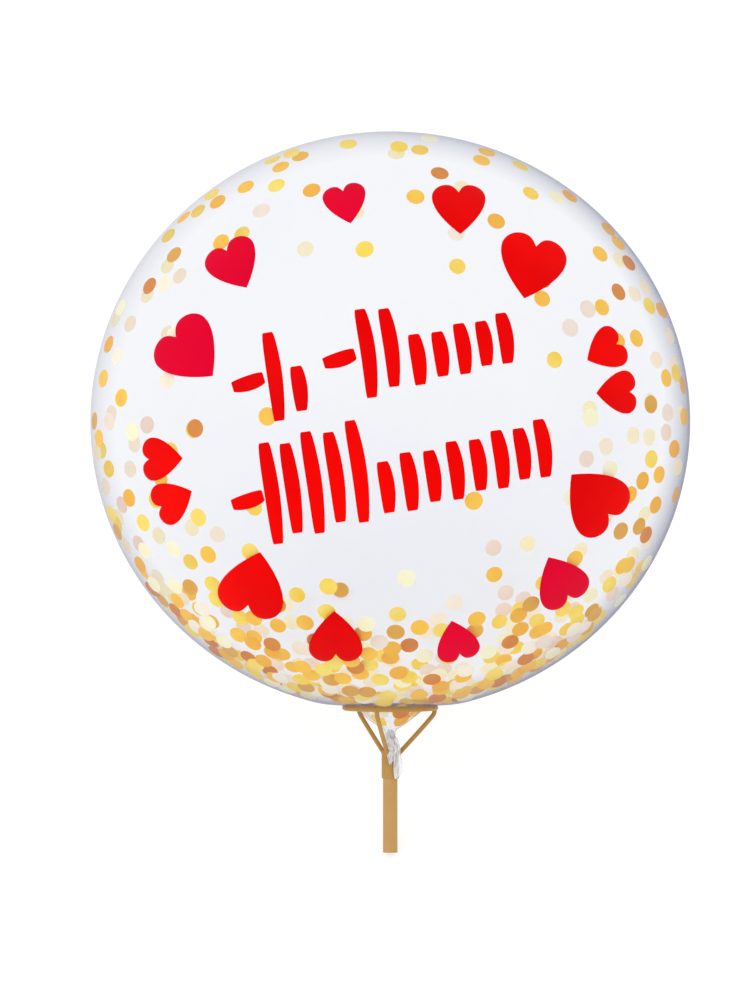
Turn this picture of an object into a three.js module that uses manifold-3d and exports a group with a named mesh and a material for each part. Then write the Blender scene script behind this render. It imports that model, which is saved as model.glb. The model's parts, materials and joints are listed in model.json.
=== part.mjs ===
// A clear bubble balloon on a hand-held holder, lying as it does when it is put down: on the back of the
// balloon and the end of its stick.
// The bubble is a near-round bag of clear film with a gathered neck and a crumpled tail. Vinyl hearts and
// rows of brush strokes are stuck to its front. Its underside sits in the ring of a moulded holder, whose
// three struts run down to a socket, and a plastic stick is pushed up into that socket.
// Units are millimetres and degrees. +Z is up, and the origin is the middle of the flat spot that the
// balloon rests on.

import * as THREE from "three";
import { mergeVertices } from "three/addons/utils/BufferGeometryUtils.js";
import Module from "manifold-3d";

const wasm = await Module();
wasm.setup();

// The balloon
const BALLOON_WIDTH = 336;
const BALLOON_HEIGHT = 325;
const FLAT_SPOT_DEPTH = 1.2;
const FUNNEL_DEPTH = 14;
const NECK_DIAMETER = 7.2;
const NECK_LENGTH = 4;
const NECK_SHOULDER = 2.4;

// The tail of film below the neck, which hangs in two lobes beside the socket
const TAIL_THICKNESS = 2.4;
const LONG_LOBE_WIDTH = 7;
const LONG_LOBE_LENGTH = 17.5;
const LONG_LOBE_AZIMUTH = -44;
const SHORT_LOBE_WIDTH = 4.6;
const SHORT_LOBE_LENGTH = 9.5;
const SHORT_LOBE_AZIMUTH = -70;
// How far above the socket's top the lobes start to hang straight
const LOBE_RISE = 1;
// A lobe's width at the neck and at its tip, as shares of its full width, and where it starts to taper
const LOBE_ROOT_SHARE = 0.62;
const LOBE_TIP_SHARE = 0.55;
const LOBE_FULL_FROM = 0.66;
const LOBE_TAPER_FROM = 0.7;

// The holder: a ring of round section, three struts and a socket
const RING_DIAMETER = 54;
const RING_THICKNESS = 3.1;
const RING_PRESS = 1.6;
const STRUT_DIAMETER = 2.6;
const STRUT_COUNT = 3;
const STRUT_AZIMUTH = 13;
const STRUT_ELBOW_DROP = 5.5;
const STRUT_ELBOW_SHARE = 0.12;
const STRUT_FOOT_DROP = 2.6;
const SOCKET_DROP = 25.3;
const SOCKET_LENGTH = 16;
const SOCKET_WALL = 0.6;
const SOCKET_CAP = 1.2;

// The stick
const STICK_DIAMETER = 8.2;
const STICK_WALL = 0.8;
const STICK_LENGTH = 56;

// Clearances
const CONTACT_GAP = 0.3;
const SOCKET_CLEARANCE = 0.15;
const THROAT_CLEARANCE = 0.7;
const TAIL_CLEARANCE = 0.4;

// The stickers, laid out in degrees on the balloon as places are on a globe whose middle faces the front
const STICKER_THICKNESS = 0.3;
const SMALL_HEART = 8;
const MEDIUM_HEART = 10;
const LARGE_HEART = 12.6;
const HEART_PAIR_GAP = 0.1;
const RIGHT_PAIR_NORTH = 13.1;
const LEFT_PAIR_NORTH = -7.7;
// Stickers near the rim are cut wider towards it, by this power of how much the rim narrows them
const RIM_WIDENING = 1;
const STROKE_WIDTH = 2.8;
const STROKE_SPACING = 1.6;
const ROW_SLOPE = 14;
const ROW_GAP = 3.8;
const UPPER_BASELINE = 4.7;
const UPPER_TALL = 16.4;
const UPPER_SHORT = 9.3;
const LOWER_TALL = 18.8;
const LOWER_SHORT = 10.6;
const DASH_LENGTH = 6;
const DASH_TURN = -73;
const DASH_HEIGHT_SHARE = 0.5;
const STROKE_LEAN = 8;
// Where the first upright stroke of each run stands, along its row from the middle of the front
const UPPER_FIRST_START = -19.5;
const UPPER_SECOND_START = -1.4;
const LOWER_START = -26;
// A stroke's bow as a share of its length, its tips as a share of its width, how blunt it is and how far
// its widest place lies above the middle, as powers, and the length of every other stroke
const STROKE_BOW = 0.03;
const STROKE_TIP_SHARE = 0.62;
const STROKE_BLUNTNESS = 0.5;
const STROKE_TOP_WEIGHT = 1.2;
const ALTERNATE_STROKE_SHARE = 0.88;

// How finely the round forms are faceted
const BUBBLE_SEGMENTS = 60;
const BUBBLE_BANDS = 24;
const ROUND_SEGMENTS = 36;
const ROD_SIDES = 10;
const ROD_STEPS = 8;
const HEART_LOBE_STEPS = 3;
const HEART_SIDE_STEPS = 4;
const STROKE_STEPS = 8;
const LOBE_STEPS = 8;
const LOBE_SIDES = 8;

const halfWidth = BALLOON_WIDTH / 2;
const halfHeight = BALLOON_HEIGHT / 2;
const radians = THREE.MathUtils.degToRad;
const arc = (degrees) => radians(degrees) * halfWidth;

// Heights are measured from the middle of the balloon, before it is laid down
const ringRadius = RING_DIAMETER / 2;
const ringTop = RING_PRESS - halfHeight * Math.sqrt(1 - (ringRadius / halfWidth) ** 2);
const ringLine = ringRadius - RING_THICKNESS / 2;
const seatHeight = ringTop + CONTACT_GAP;
const throatRadius = ringRadius - RING_THICKNESS - THROAT_CLEARANCE;
const neckRadius = NECK_DIAMETER / 2;
const coneEnd = seatHeight - FUNNEL_DEPTH;
const neckTop = coneEnd - NECK_SHOULDER / 2;
const neckEnd = neckTop - NECK_LENGTH;
const stickRadius = STICK_DIAMETER / 2;
const boreRadius = stickRadius + SOCKET_CLEARANCE;
const socketRadius = boreRadius + SOCKET_WALL;
const socketTop = ringTop - SOCKET_DROP;
const socketEnd = socketTop - SOCKET_LENGTH;
const stickTop = socketTop - SOCKET_CAP - CONTACT_GAP;
const stickEnd = stickTop - STICK_LENGTH;

const material = (color, roughness, opacity = 1) =>
  new THREE.MeshStandardMaterial({
    color,
    roughness,
    metalness: 0,
    transparent: opacity < 1,
    opacity,
  });
const clearFilm = material(0xe6eaf6, 0.08, 0.25);
const redVinyl = material(0xe6060c, 0.4);
const crimsonVinyl = material(0xdf0533, 0.4);
const goldPlastic = material(0xb98848, 0.45);
const stickPlastic = material(0xc49b61, 0.4);

// Turns a profile of [radius, height] round the upright axis. It runs from the bottom to the top.
function turned(profile, segments) {
  const points = profile.map(([radius, height]) => new THREE.Vector2(radius, height));
  return new THREE.LatheGeometry(points, segments).rotateX(Math.PI / 2);
}

// A closed body through rings of points, with each end closed by a fan to its own middle point
function lofted(rings, first, last) {
  const count = rings[0].length;
  const corners = [first, ...rings.flat(), last];
  const faces = [];
  const at = (ring, k) => 1 + ring * count + (k % count);
  for (let k = 0; k < count; k++) {
    faces.push(0, at(0, k + 1), at(0, k));
    for (let ring = 0; ring + 1 < rings.length; ring++) {
      faces.push(at(ring, k), at(ring, k + 1), at(ring + 1, k + 1));
      faces.push(at(ring, k), at(ring + 1, k + 1), at(ring + 1, k));
    }
    faces.push(corners.length - 1, at(rings.length - 1, k), at(rings.length - 1, k + 1));
  }
  return new THREE.BufferGeometry().setFromPoints(corners).setIndex(faces);
}

// A rod of round section along a curve
function rod(curve, diameter) {
  const circle = new THREE.Shape().absarc(0, 0, diameter / 2, 0, 2 * Math.PI);
  return new THREE.ExtrudeGeometry(circle, {
    steps: ROD_STEPS,
    curveSegments: ROD_SIDES / 2,
    extrudePath: curve,
  });
}

// A geometry as a solid that can be cut and joined, and back
function solid(geometry) {
  const bare = geometry.clone();
  bare.deleteAttribute("normal");
  bare.deleteAttribute("uv");
  const merged = mergeVertices(bare, 1e-3);
  const triVerts = [];
  for (let i = 0; i < merged.index.count; i += 3) {
    const [a, b, c] = merged.index.array.slice(i, i + 3);
    if (a !== b && b !== c && c !== a) triVerts.push(a, b, c);
  }
  return new wasm.Manifold(
    new wasm.Mesh({
      numProp: 3,
      vertProperties: merged.attributes.position.array,
      triVerts: new Uint32Array(triVerts),
    }),
  );
}
function geometryOf(body) {
  const mesh = body.getMesh();
  return new THREE.BufferGeometry()
    .setAttribute("position", new THREE.BufferAttribute(mesh.vertProperties, 3))
    .setIndex(new THREE.BufferAttribute(mesh.triVerts, 1));
}
const joined = (geometries) => geometries.map(solid).reduce((all, next) => all.add(next));

// How far the balloon, or the rim of the stick's end, reaches towards a floor that stands at this angle
// from the upright axis
const balloonReach = (angle) =>
  Math.hypot(halfWidth * Math.cos(angle), halfHeight * Math.sin(angle)) - FLAT_SPOT_DEPTH;
const stickReach = (angle) => stickRadius * Math.cos(angle) - stickEnd * Math.sin(angle);

// The angle at which both touch the floor, found by halving
function restingAngle() {
  let low = 0;
  let high = Math.PI / 2;
  for (let i = 0; i < 50; i++) {
    const middle = (low + high) / 2;
    if (stickReach(middle) > balloonReach(middle)) high = middle;
    else low = middle;
  }
  return low;
}
const floorAngle = restingAngle();
const floorWay = new THREE.Vector3(0, Math.cos(floorAngle), -Math.sin(floorAngle));

// One lobe of the tail: it leaves the neck, bends out past the socket's edge and hangs beside it
function lobe(length, azimuth, width) {
  const way = new THREE.Vector3(Math.cos(radians(azimuth)), Math.sin(radians(azimuth)), 0);
  const side = new THREE.Vector3(-way.y, way.x, 0);
  const stand = socketRadius + TAIL_CLEARANCE + TAIL_THICKNESS / 2;
  const hangTop = socketTop + LOBE_RISE;
  const point = (radius, height) => way.clone().multiplyScalar(radius).setZ(height);
  const line = new THREE.CatmullRomCurve3([
    point(0, neckEnd + NECK_LENGTH / 2),
    point(stand / 2, (neckEnd + socketTop) / 2 + TAIL_THICKNESS),
    point(stand, hangTop),
    point(stand, hangTop - length / 2),
    point(stand, hangTop - length),
  ]);
  const rings = [];
  for (let i = 0; i <= LOBE_STEPS; i++) {
    const t = i / LOBE_STEPS;
    const middle = line.getPointAt(t);
    const along = line.getTangentAt(t);
    const out = new THREE.Vector3().crossVectors(side, along);
    const swell = THREE.MathUtils.smoothstep(t, 0, LOBE_FULL_FROM);
    const taper = THREE.MathUtils.smoothstep(t, LOBE_TAPER_FROM, 1);
    const share = (LOBE_ROOT_SHARE + (1 - LOBE_ROOT_SHARE) * swell) * (1 - (1 - LOBE_TIP_SHARE) * taper);
    const ring = [];
    for (let k = 0; k < LOBE_SIDES; k++) {
      const turn = (k / LOBE_SIDES) * 2 * Math.PI;
      const across = (width / 2) * share * Math.cos(turn);
      const through = (TAIL_THICKNESS / 2) * Math.sin(turn);
      ring.push(middle.clone().addScaledVector(side, across).addScaledVector(out, -through));
    }
    rings.push(ring);
  }
  return lofted(rings, line.getPointAt(0), line.getPointAt(1));
}

// The bubble: a spheroid whose underside is pressed flat by the ring, a cone of film through the ring,
// the gathered neck and its tail, with the flat spot cut where it lies on the floor
function bubble() {
  const seatLatitude = Math.asin(seatHeight / halfHeight);
  const profile = [
    [0, neckEnd],
    [neckRadius, neckEnd],
    [neckRadius, neckTop],
    [neckRadius + NECK_SHOULDER, coneEnd],
    [throatRadius, seatHeight],
  ];
  for (let i = 0; i <= BUBBLE_BANDS; i++) {
    const latitude = THREE.MathUtils.lerp(seatLatitude, Math.PI / 2, i / BUBBLE_BANDS);
    profile.push([
      i === BUBBLE_BANDS ? 0 : halfWidth * Math.cos(latitude),
      halfHeight * Math.sin(latitude),
    ]);
  }
  const film = joined([
    turned(profile, BUBBLE_SEGMENTS),
    lobe(LONG_LOBE_LENGTH, LONG_LOBE_AZIMUTH, LONG_LOBE_WIDTH),
    lobe(SHORT_LOBE_LENGTH, SHORT_LOBE_AZIMUTH, SHORT_LOBE_WIDTH),
  ]);
  const keep = floorWay.clone().negate().toArray();
  return geometryOf(film.trimByPlane(keep, -balloonReach(floorAngle)));
}

// The holder: ring, struts and socket moulded as one
function holder() {
  const section = [];
  for (let k = 0; k <= ROD_SIDES; k++) {
    const turn = (k / ROD_SIDES) * 2 * Math.PI;
    const radius = RING_THICKNESS / 2;
    section.push([
      ringLine + radius * Math.cos(turn),
      ringTop - radius + radius * Math.sin(turn),
    ]);
  }
  section[ROD_SIDES] = section[0];
  const socket = [
    [0, socketTop - SOCKET_CAP],
    [boreRadius, socketTop - SOCKET_CAP],
    [boreRadius, socketEnd],
    [socketRadius, socketEnd],
    [socketRadius, socketTop - SOCKET_WALL],
    [socketRadius - SOCKET_WALL, socketTop],
    [0, socketTop],
  ];
  const struts = [];
  for (let i = 0; i < STRUT_COUNT; i++) {
    const azimuth = radians(STRUT_AZIMUTH + (360 / STRUT_COUNT) * i);
    const point = (radius, height) =>
      new THREE.Vector3(radius * Math.cos(azimuth), radius * Math.sin(azimuth), height);
    const elbow = point(ringLine, ringTop - STRUT_ELBOW_DROP);
    const foot = point(socketRadius - SOCKET_WALL / 2, socketTop - STRUT_FOOT_DROP);
    const below = elbow.clone().lerp(foot, STRUT_ELBOW_SHARE);
    const line = new THREE.CurvePath();
    line.add(
      new THREE.QuadraticBezierCurve3(point(ringLine, ringTop - RING_THICKNESS / 2), elbow, below),
    );
    line.add(new THREE.LineCurve3(below, foot));
    struts.push(rod(line, STRUT_DIAMETER));
  }
  const whole = joined([
    turned(section, ROUND_SEGMENTS),
    turned(socket, ROUND_SEGMENTS),
    ...struts,
  ]);
  const bore = [
    [0, socketEnd - SOCKET_LENGTH],
    [boreRadius, socketEnd - SOCKET_LENGTH],
    [boreRadius, socketTop - SOCKET_CAP],
    [0, socketTop - SOCKET_CAP],
  ];
  return geometryOf(whole.subtract(solid(turned(bore, ROUND_SEGMENTS))));
}

// The stick: a plain tube, open at its lower end
function stick() {
  const innerRadius = stickRadius - STICK_WALL;
  return turned(
    [
      [innerRadius, stickTop],
      [innerRadius, stickEnd],
      [stickRadius, stickEnd],
      [stickRadius, stickTop],
      [innerRadius, stickTop],
    ],
    ROUND_SEGMENTS,
  );
}

// Where a sticker's own point comes to lie. across and up are seen from the front, from the sticker's
// middle; the point is laid on the tangent plane there, wider towards the rim, and drawn in to the film.
function stickerPoint(spot, across, up, lift) {
  const east = radians(spot.east);
  const north = radians(spot.north);
  const middle = new THREE.Vector3(
    halfWidth * Math.cos(north) * Math.sin(east),
    -halfWidth * Math.cos(north) * Math.cos(east),
    halfHeight * Math.sin(north),
  );
  const square = new THREE.Vector3(halfWidth ** 2, halfWidth ** 2, halfHeight ** 2);
  const normal = middle.clone().divide(square).normalize();
  const front = new THREE.Vector3(0, -1, 0);
  const facing = normal.dot(front);
  const outward = normal.clone().multiplyScalar(facing).sub(front);
  if (outward.length() < 1e-6) outward.set(1, 0, 0);
  outward.normalize();
  const sideways = new THREE.Vector3().crossVectors(outward, normal);
  const shown = Math.hypot(outward.x, outward.z);
  const towardsRim = (across * outward.x + up * outward.z) / shown;
  const round = across * sideways.x + up * sideways.z;
  const point = middle
    .addScaledVector(outward, towardsRim * facing ** -RIM_WIDENING)
    .addScaledVector(sideways, round);
  point.divideScalar(Math.hypot(point.x / halfWidth, point.y / halfWidth, point.z / halfHeight));
  return point.addScaledVector(point.clone().divide(square).normalize(), lift);
}
const backLift = CONTACT_GAP;
const faceLift = CONTACT_GAP + STICKER_THICKNESS;

// A heart's outline, 2 wide, anticlockwise from the cleft: three curves down its left side, mirrored
function heartOutline() {
  const curves = [
    [[0, 0.61], [-0.11, 0.8], [-0.21, 0.95], [-0.45, 0.95]],
    [[-0.45, 0.95], [-0.75, 0.95], [-1, 0.72], [-1, 0.43]],
    [[-1, 0.43], [-1, -0.05], [-0.51, -0.61], [0, -0.97]],
  ].map((points) => new THREE.CubicBezierCurve(...points.map(([x, y]) => new THREE.Vector2(x, y))));
  const steps = [HEART_LOBE_STEPS, HEART_LOBE_STEPS, HEART_SIDE_STEPS];
  const left = [];
  curves.forEach((curve, i) => {
    for (let k = 0; k < steps[i]; k++) left.push(curve.getPoint(k / steps[i]));
  });
  const tip = curves.at(-1).getPoint(1);
  const right = left.slice(1).reverse().map((p) => new THREE.Vector2(-p.x, p.y));
  return [...left, tip, ...right];
}

// A cut-out heart laid on the film. turn is anticlockwise from upright, as seen from the front.
function heart({ east, north, width, turn }) {
  const size = arc(width) / 2;
  const angle = radians(turn);
  const place = (p, share, lift) => {
    const x = p.x * share * size;
    const y = p.y * share * size;
    const across = x * Math.cos(angle) - y * Math.sin(angle);
    const up = x * Math.sin(angle) + y * Math.cos(angle);
    return stickerPoint({ east, north }, across, up, lift);
  };
  const outline = heartOutline();
  const middle = new THREE.Vector2(0, 0);
  const ring = (share, lift) => outline.map((p) => place(p, share, lift));
  return lofted(
    [ring(0.5, backLift), ring(1, backLift), ring(1, faceLift), ring(0.5, faceLift)],
    place(middle, 0, backLift),
    place(middle, 0, faceLift),
  );
}

const pairPitch = SMALL_HEART + HEART_PAIR_GAP;
const rightLower = RIGHT_PAIR_NORTH - pairPitch;
const leftLower = LEFT_PAIR_NORTH - pairPitch;
const HEARTS = [
  { name: "heart_top_left", east: -11.9, north: 45.6, width: SMALL_HEART, turn: 13, crimson: true },
  { name: "heart_top_right", east: 18, north: 44.4, width: MEDIUM_HEART, turn: 2 },
  { name: "heart_upper_right", east: 31.6, north: 30.3, width: LARGE_HEART, turn: -13 },
  { name: "heart_right_pair_upper", east: 45, north: RIGHT_PAIR_NORTH, width: SMALL_HEART, turn: -61 },
  { name: "heart_right_pair_lower", east: 46.8, north: rightLower, width: SMALL_HEART, turn: -87 },
  { name: "heart_right_large", east: 42.8, north: -15.5, width: LARGE_HEART, turn: -136 },
  { name: "heart_lower_right", east: 40.6, north: -32.7, width: MEDIUM_HEART, turn: -152, crimson: true },
  { name: "heart_bottom_right", east: 18.4, north: -47.8, width: SMALL_HEART, turn: -166, crimson: true },
  { name: "heart_bottom_left", east: -15.2, north: -46.8, width: MEDIUM_HEART, turn: 182 },
  { name: "heart_lower_left", east: -32.3, north: -33.6, width: LARGE_HEART, turn: 167 },
  { name: "heart_left_pair_lower", east: -46.7, north: leftLower, width: SMALL_HEART, turn: 116 },
  { name: "heart_left_pair_upper", east: -48, north: LEFT_PAIR_NORTH, width: SMALL_HEART, turn: 91 },
  { name: "heart_left_large", east: -41.4, north: 12.7, width: LARGE_HEART, turn: 43, crimson: true },
  { name: "heart_upper_left", east: -35.8, north: 30.7, width: MEDIUM_HEART, turn: 28, crimson: true },
];

// One brush stroke laid on the film: a blunt bar with a slight bow, widest above its middle
function stroke({ east, north, length, turn }) {
  const angle = radians(turn);
  const place = (x, y, lift) => {
    const across = x * Math.cos(angle) - y * Math.sin(angle);
    const up = x * Math.sin(angle) + y * Math.cos(angle);
    return stickerPoint({ east, north }, across, up, lift);
  };
  const size = arc(length);
  const rings = [];
  for (let i = 0; i <= STROKE_STEPS; i++) {
    const t = i / STROKE_STEPS;
    const y = (t - 0.5) * size;
    const bow = STROKE_BOW * size * (Math.sin(Math.PI * t) - 0.5);
    const fullness = Math.sin(Math.PI * t ** STROKE_TOP_WEIGHT) ** STROKE_BLUNTNESS;
    const half = (arc(STROKE_WIDTH) / 2) * (STROKE_TIP_SHARE + (1 - STROKE_TIP_SHARE) * fullness);
    rings.push([
      place(bow - half, y, backLift),
      place(bow - half, y, faceLift),
      place(bow + half, y, faceLift),
      place(bow + half, y, backLift),
    ]);
  }
  const middleOf = (ring) => ring.reduce((sum, p) => sum.add(p), new THREE.Vector3()).divideScalar(4);
  return lofted(rings, middleOf(rings[0]), middleOf(rings[STROKE_STEPS]));
}

// A run of strokes on a sloping baseline: a lying dash, then tall strokes, then short ones
function strokeRun({ name, start, baseline, talls, tall, shorts, short }) {
  const slope = radians(ROW_SLOPE);
  const spot = (along, up) => ({
    east: along * Math.cos(slope) - up * Math.sin(slope),
    north: along * Math.sin(slope) + up * Math.cos(slope),
  });
  const pitch = STROKE_WIDTH + STROKE_SPACING;
  const strokes = [
    {
      ...spot(start - pitch / 2 - DASH_LENGTH / 2, baseline + DASH_HEIGHT_SHARE * tall),
      length: DASH_LENGTH,
      turn: DASH_TURN,
    },
  ];
  for (let i = 0; i < talls + shorts; i++) {
    const length = i < talls ? tall : short;
    strokes.push({
      ...spot(start + i * pitch, baseline + length / 2),
      length: length * (i % 2 ? ALTERNATE_STROKE_SHARE : 1),
      turn: STROKE_LEAN,
    });
  }
  return strokes.map((one, i) => ({ name: `${name}_${String(i).padStart(2, "0")}`, ...one }));
}
const lowerBaseline = UPPER_BASELINE - ROW_GAP - LOWER_TALL;
const STROKES = [
  ...strokeRun({
    name: "stroke_upper_first",
    start: UPPER_FIRST_START,
    baseline: UPPER_BASELINE,
    talls: 1,
    tall: UPPER_TALL,
    shorts: 1,
    short: UPPER_SHORT,
  }),
  ...strokeRun({
    name: "stroke_upper_second",
    start: UPPER_SECOND_START,
    baseline: UPPER_BASELINE,
    talls: 2,
    tall: UPPER_TALL,
    shorts: 5,
    short: UPPER_SHORT,
  }),
  ...strokeRun({
    name: "stroke_lower",
    start: LOWER_START,
    baseline: lowerBaseline,
    talls: 5,
    tall: LOWER_TALL,
    shorts: 8,
    short: LOWER_SHORT,
  }),
];

// Everything is placed upright about the middle of the balloon, then laid down on the floor
const upright = new THREE.Group();
function place(name, geometry, finish) {
  const mesh = new THREE.Mesh(geometry, finish);
  mesh.name = name;
  upright.add(mesh);
}
place("balloon_envelope", bubble(), clearFilm);
place("ring_holder", holder(), goldPlastic);
place("stick", stick(), stickPlastic);
for (const one of HEARTS) place(one.name, heart(one), one.crimson ? crimsonVinyl : redVinyl);
for (const one of STROKES) place(one.name, stroke(one), redVinyl);

upright.rotation.x = floorAngle - Math.PI / 2;
const spotOffset =
  ((halfWidth ** 2 - halfHeight ** 2) * Math.sin(floorAngle) * Math.cos(floorAngle)) /
  (balloonReach(floorAngle) + FLAT_SPOT_DEPTH);
upright.position.set(0, -spotOffset, balloonReach(floorAngle));

const part = new THREE.Group();
part.add(upright);

export default part;
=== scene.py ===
"""A clear bubble balloon with hearts on it and confetti in it, put down on a pale floor with its stick."""

import json
import math

import bpy
import numpy as np
from mathutils import Matrix, Vector


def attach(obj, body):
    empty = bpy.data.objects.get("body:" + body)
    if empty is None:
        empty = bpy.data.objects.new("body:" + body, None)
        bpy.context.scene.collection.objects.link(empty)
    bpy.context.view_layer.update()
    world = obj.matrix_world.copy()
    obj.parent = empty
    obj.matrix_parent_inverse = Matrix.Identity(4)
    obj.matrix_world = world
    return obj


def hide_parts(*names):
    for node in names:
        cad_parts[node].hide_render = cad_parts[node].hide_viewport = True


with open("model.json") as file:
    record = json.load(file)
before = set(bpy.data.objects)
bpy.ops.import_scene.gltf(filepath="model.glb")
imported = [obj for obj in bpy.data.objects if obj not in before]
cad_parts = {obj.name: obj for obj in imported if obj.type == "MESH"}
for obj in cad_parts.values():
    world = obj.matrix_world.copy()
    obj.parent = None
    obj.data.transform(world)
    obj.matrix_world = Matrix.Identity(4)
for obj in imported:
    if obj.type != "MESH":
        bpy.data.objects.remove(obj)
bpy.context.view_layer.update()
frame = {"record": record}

# The camera and how the balloon lies
# The bubble lies on its back and on the end of its stick, and the camera looks down on it from its front.
# Each piece is worked out upright, in millimetres about the middle of the bubble, and is then laid down.
MM = 0.001
BUBBLE_WIDTH = 336
BUBBLE_HEIGHT = 325
RING_DIAMETER = 54
RING_PRESS = 1.6
SOCKET_DROP = 25.3
SOCKET_CAP = 1.2
CONTACT_GAP = 0.3
STICK_LENGTH = 56
half_width = BUBBLE_WIDTH / 2
half_height = BUBBLE_HEIGHT / 2
ring_top = RING_PRESS - half_height * math.sqrt(1 - (RING_DIAMETER / BUBBLE_WIDTH) ** 2)
socket_top = ring_top - SOCKET_DROP
stick_top = socket_top - SOCKET_CAP - CONTACT_GAP
stick_end = stick_top - STICK_LENGTH

mounts = {mount["name"]: mount for mount in frame["record"]["mounts"]}
right_way = np.array([1.0, 0.0, 0.0])
up_way = -np.array(mounts["stick_end"]["axis"])
up_way /= np.linalg.norm(up_way)
front_way = np.cross(right_way, up_way)
bubble_middle = np.array(mounts["stick_end"]["pos_m"]) * [0, 1, 1] - up_way * stick_end * MM


def laid_down(points):
    """Turns upright places from millimetres right, away and up to metres in the frame: each is a sum of the
    three ways of the lying balloon, from the middle of its bubble."""
    return np.asarray(points) * MM @ np.array([right_way, -front_way, up_way]) + bubble_middle


CAMERA_DISTANCE = 3000
PHOTO_HEIGHT_PX = 1000
PHOTO_MIDDLE_PX = np.array([375, 500])
BUBBLE_MIDDLE_PX = np.array([390.2, 421.7])
BUBBLE_WIDTH_PX = 600
FILM_GATE = 36
edge_slope = math.tan(math.asin(half_width / CAMERA_DISTANCE))
focal_px = BUBBLE_WIDTH_PX / 2 / edge_slope
aim = (PHOTO_MIDDLE_PX - BUBBLE_MIDDLE_PX) * CAMERA_DISTANCE / focal_px

camera_data = bpy.data.cameras.new("camera")
camera_data.sensor_width = FILM_GATE
camera_data.lens = FILM_GATE * focal_px / PHOTO_HEIGHT_PX
camera = bpy.data.objects.new("camera", camera_data)
camera.matrix_world = Matrix.Translation(laid_down([aim[0], -CAMERA_DISTANCE, -aim[1]])) @ Matrix(
    np.array([right_way, up_way, front_way]).T.tolist()
).to_4x4()
bpy.context.scene.collection.objects.link(camera)
bpy.context.scene.camera = camera

# The film bubble
# One bag of thin clear film, blown up until it is almost a sphere. Its underside is pressed flat by the
# ring, dips through it as a cone, and is gathered into pleats at a narrow neck.
SEAT_ROUNDING = 5
SEAT_EDGE_SHARE = 0.25
SEAT_EDGE_LIFT = 0.35
FUNNEL = [
    (23.2, 0),
    (20.4, -2),
    (17.2, -4.6),
    (12.4, -8.7),
    (7.6, -12.2),
    (4.2, -14.4),
    (3.4, -16.4),
    (3.4, -19),
]
PLEATS = (7, 11, 16)
PLEAT_DEPTH = 0.17
PLEAT_START = 20
FLOOR_GAP = 0.1
SHARP_TURN = 38
NOISE_DETAIL = 3
NOISE_LOW = 0.3
NOISE_HIGH = 0.7
FILM_SPECULAR = 0.2
FILM_PATCHES = 6
FILM_ROUGHNESS = (0.04, 0.12)
BUBBLE_ROWS = 150
UNDERSIDE_ROWS = 70
BUBBLE_COLUMNS = 288
# Painted shade: the way, as shares to the right and up, in which the film's outline is drawn darkest
PAINTED_SHADE_WAY = (0.8, -0.6)
seat_height = ring_top + CONTACT_GAP
painted_shade_way = PAINTED_SHADE_WAY[0] * right_way + PAINTED_SHADE_WAY[1] * up_way


def through_points(points, count):
    """Points evenly spread over a smooth curve through the given ones: on each stretch a cubic whose end
    slopes are half the step between the neighbours on both sides."""
    p = np.asarray(points, float)
    ends = np.vstack([2 * p[0] - p[1], p, 2 * p[-1] - p[-2]])
    place = np.linspace(0, len(p) - 1, count)
    i = np.minimum(place.astype(int), len(p) - 2)
    t = (place - i)[:, None]
    a, b, c, d = ends[i], ends[i + 1], ends[i + 2], ends[i + 3]
    return 0.5 * (2 * b + (c - a) * t + (2 * a - 5 * b + 4 * c - d) * t**2 + (3 * b - a - 3 * c + d) * t**3)


def tube_faces(rows, columns):
    """Corner numbers of a closed skin over rows of points that each go round, with one more point before
    the first row and one after the last: quads between rows, and a fan of triangles at each end."""
    k = np.arange(columns)
    n = (k + 1) % columns
    at = 1 + np.arange(rows - 1)[:, None] * columns
    quads = np.stack([at + k, at + n, at + columns + n, at + columns + k], -1).reshape(-1, 4)
    last = 1 + rows * columns
    start = np.stack([np.zeros_like(k), 1 + n, 1 + k], -1)
    end = np.stack([np.full_like(k, last), last - columns + k, last - columns + n], -1)
    return start.tolist() + quads.tolist() + end.tolist()


def skin(name, rows, first, last, finish, nodes=()):
    """A piece whose skin runs over rows of upright points, from the point first to the point last."""
    points = np.vstack([np.reshape(first, (1, 3)), rows.reshape(-1, 3), np.reshape(last, (1, 3))])
    return piece(name, laid_down(points), tube_faces(*rows.shape[:2]), finish, nodes)


def piece(name, points, faces, finish, nodes=()):
    """A piece from points in the frame and the corner numbers of its faces, shaded smooth but for edges
    that turn by more than SHARP_TURN."""
    mesh = bpy.data.meshes.new(name)
    mesh.from_pydata(np.asarray(points).tolist(), [], faces)
    mesh.shade_smooth()
    mesh.set_sharp_from_angle(angle=math.radians(SHARP_TURN))
    mesh.materials.append(finish)
    made = bpy.data.objects.new(name, mesh)
    bpy.context.scene.collection.objects.link(made)
    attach(made, "root")
    if nodes:
        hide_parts(*nodes)
    return made


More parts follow.
